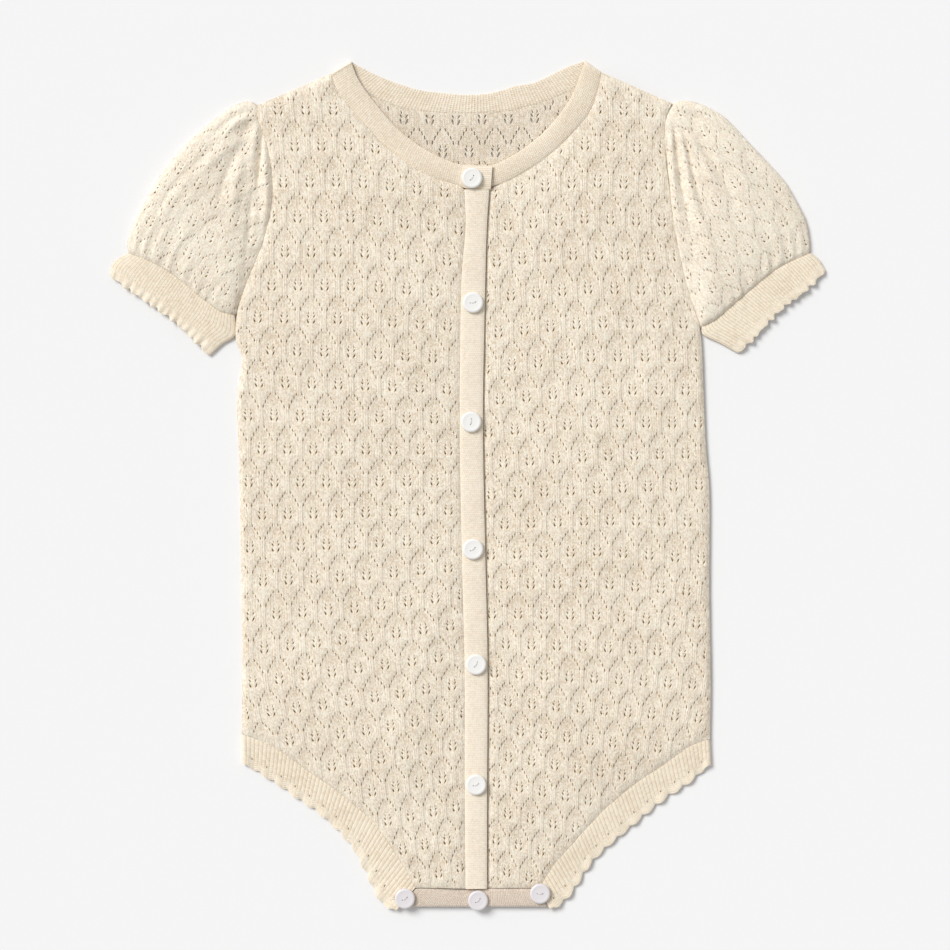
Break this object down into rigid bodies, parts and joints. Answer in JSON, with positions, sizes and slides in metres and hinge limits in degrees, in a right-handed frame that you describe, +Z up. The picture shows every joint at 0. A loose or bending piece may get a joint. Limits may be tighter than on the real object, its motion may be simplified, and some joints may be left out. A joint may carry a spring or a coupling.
{
  "type": "baby romper",
  "caption": "Button-front baby romper in leaf pointelle knit, laid flat, with gathered puff sleeves, ribbed scalloped cuffs and leg bands, a ribbed neckband and a buttoned crotch.",
  "frame": {"origin": "centre of the garment's outline, on the surface that it lies on", "axes": "+Y towards the neck, +X towards the wearer's left as the front faces up, +Z up from the surface"},
  "size_m": [0.3578, 0.4251, 0.0072],
  "materials": {
    "body_knit": "soft matte ecru cotton pointelle knit with small eyelets",
    "sleeve_knit": "soft matte ecru cotton pointelle knit, gathered",
    "back_knit": "soft matte ecru cotton pointelle knit, its inside in shade",
    "rib_knit": "matte ecru cotton rib knit",
    "tape_knit": "smooth fine-gauge ecru cotton knit",
    "button": "glossy white resin with a faint pearl"
  },
  "bodies": {
    "root": {"back_panel": "back_knit", "front_right": "body_knit", "front_left": "body_knit", "sleeve_right": "sleeve_knit", "sleeve_left": "sleeve_knit", "cuff_right": "rib_knit", "cuff_left": "rib_knit", "leg_band_right": "rib_knit", "leg_band_left": "rib_knit", "neckband": "rib_knit", "placket_over": "tape_knit", "placket_under": "tape_knit", "crotch_band_front": "tape_knit", "crotch_band_back": "tape_knit", "placket_button_1": "button", "placket_button_2": "button", "placket_button_3": "button", "placket_button_4": "button", "placket_button_5": "button", "placket_button_6": "button", "crotch_button_1": "button", "crotch_button_2": "button", "crotch_button_3": "button"}
  },
  "joints": []
}
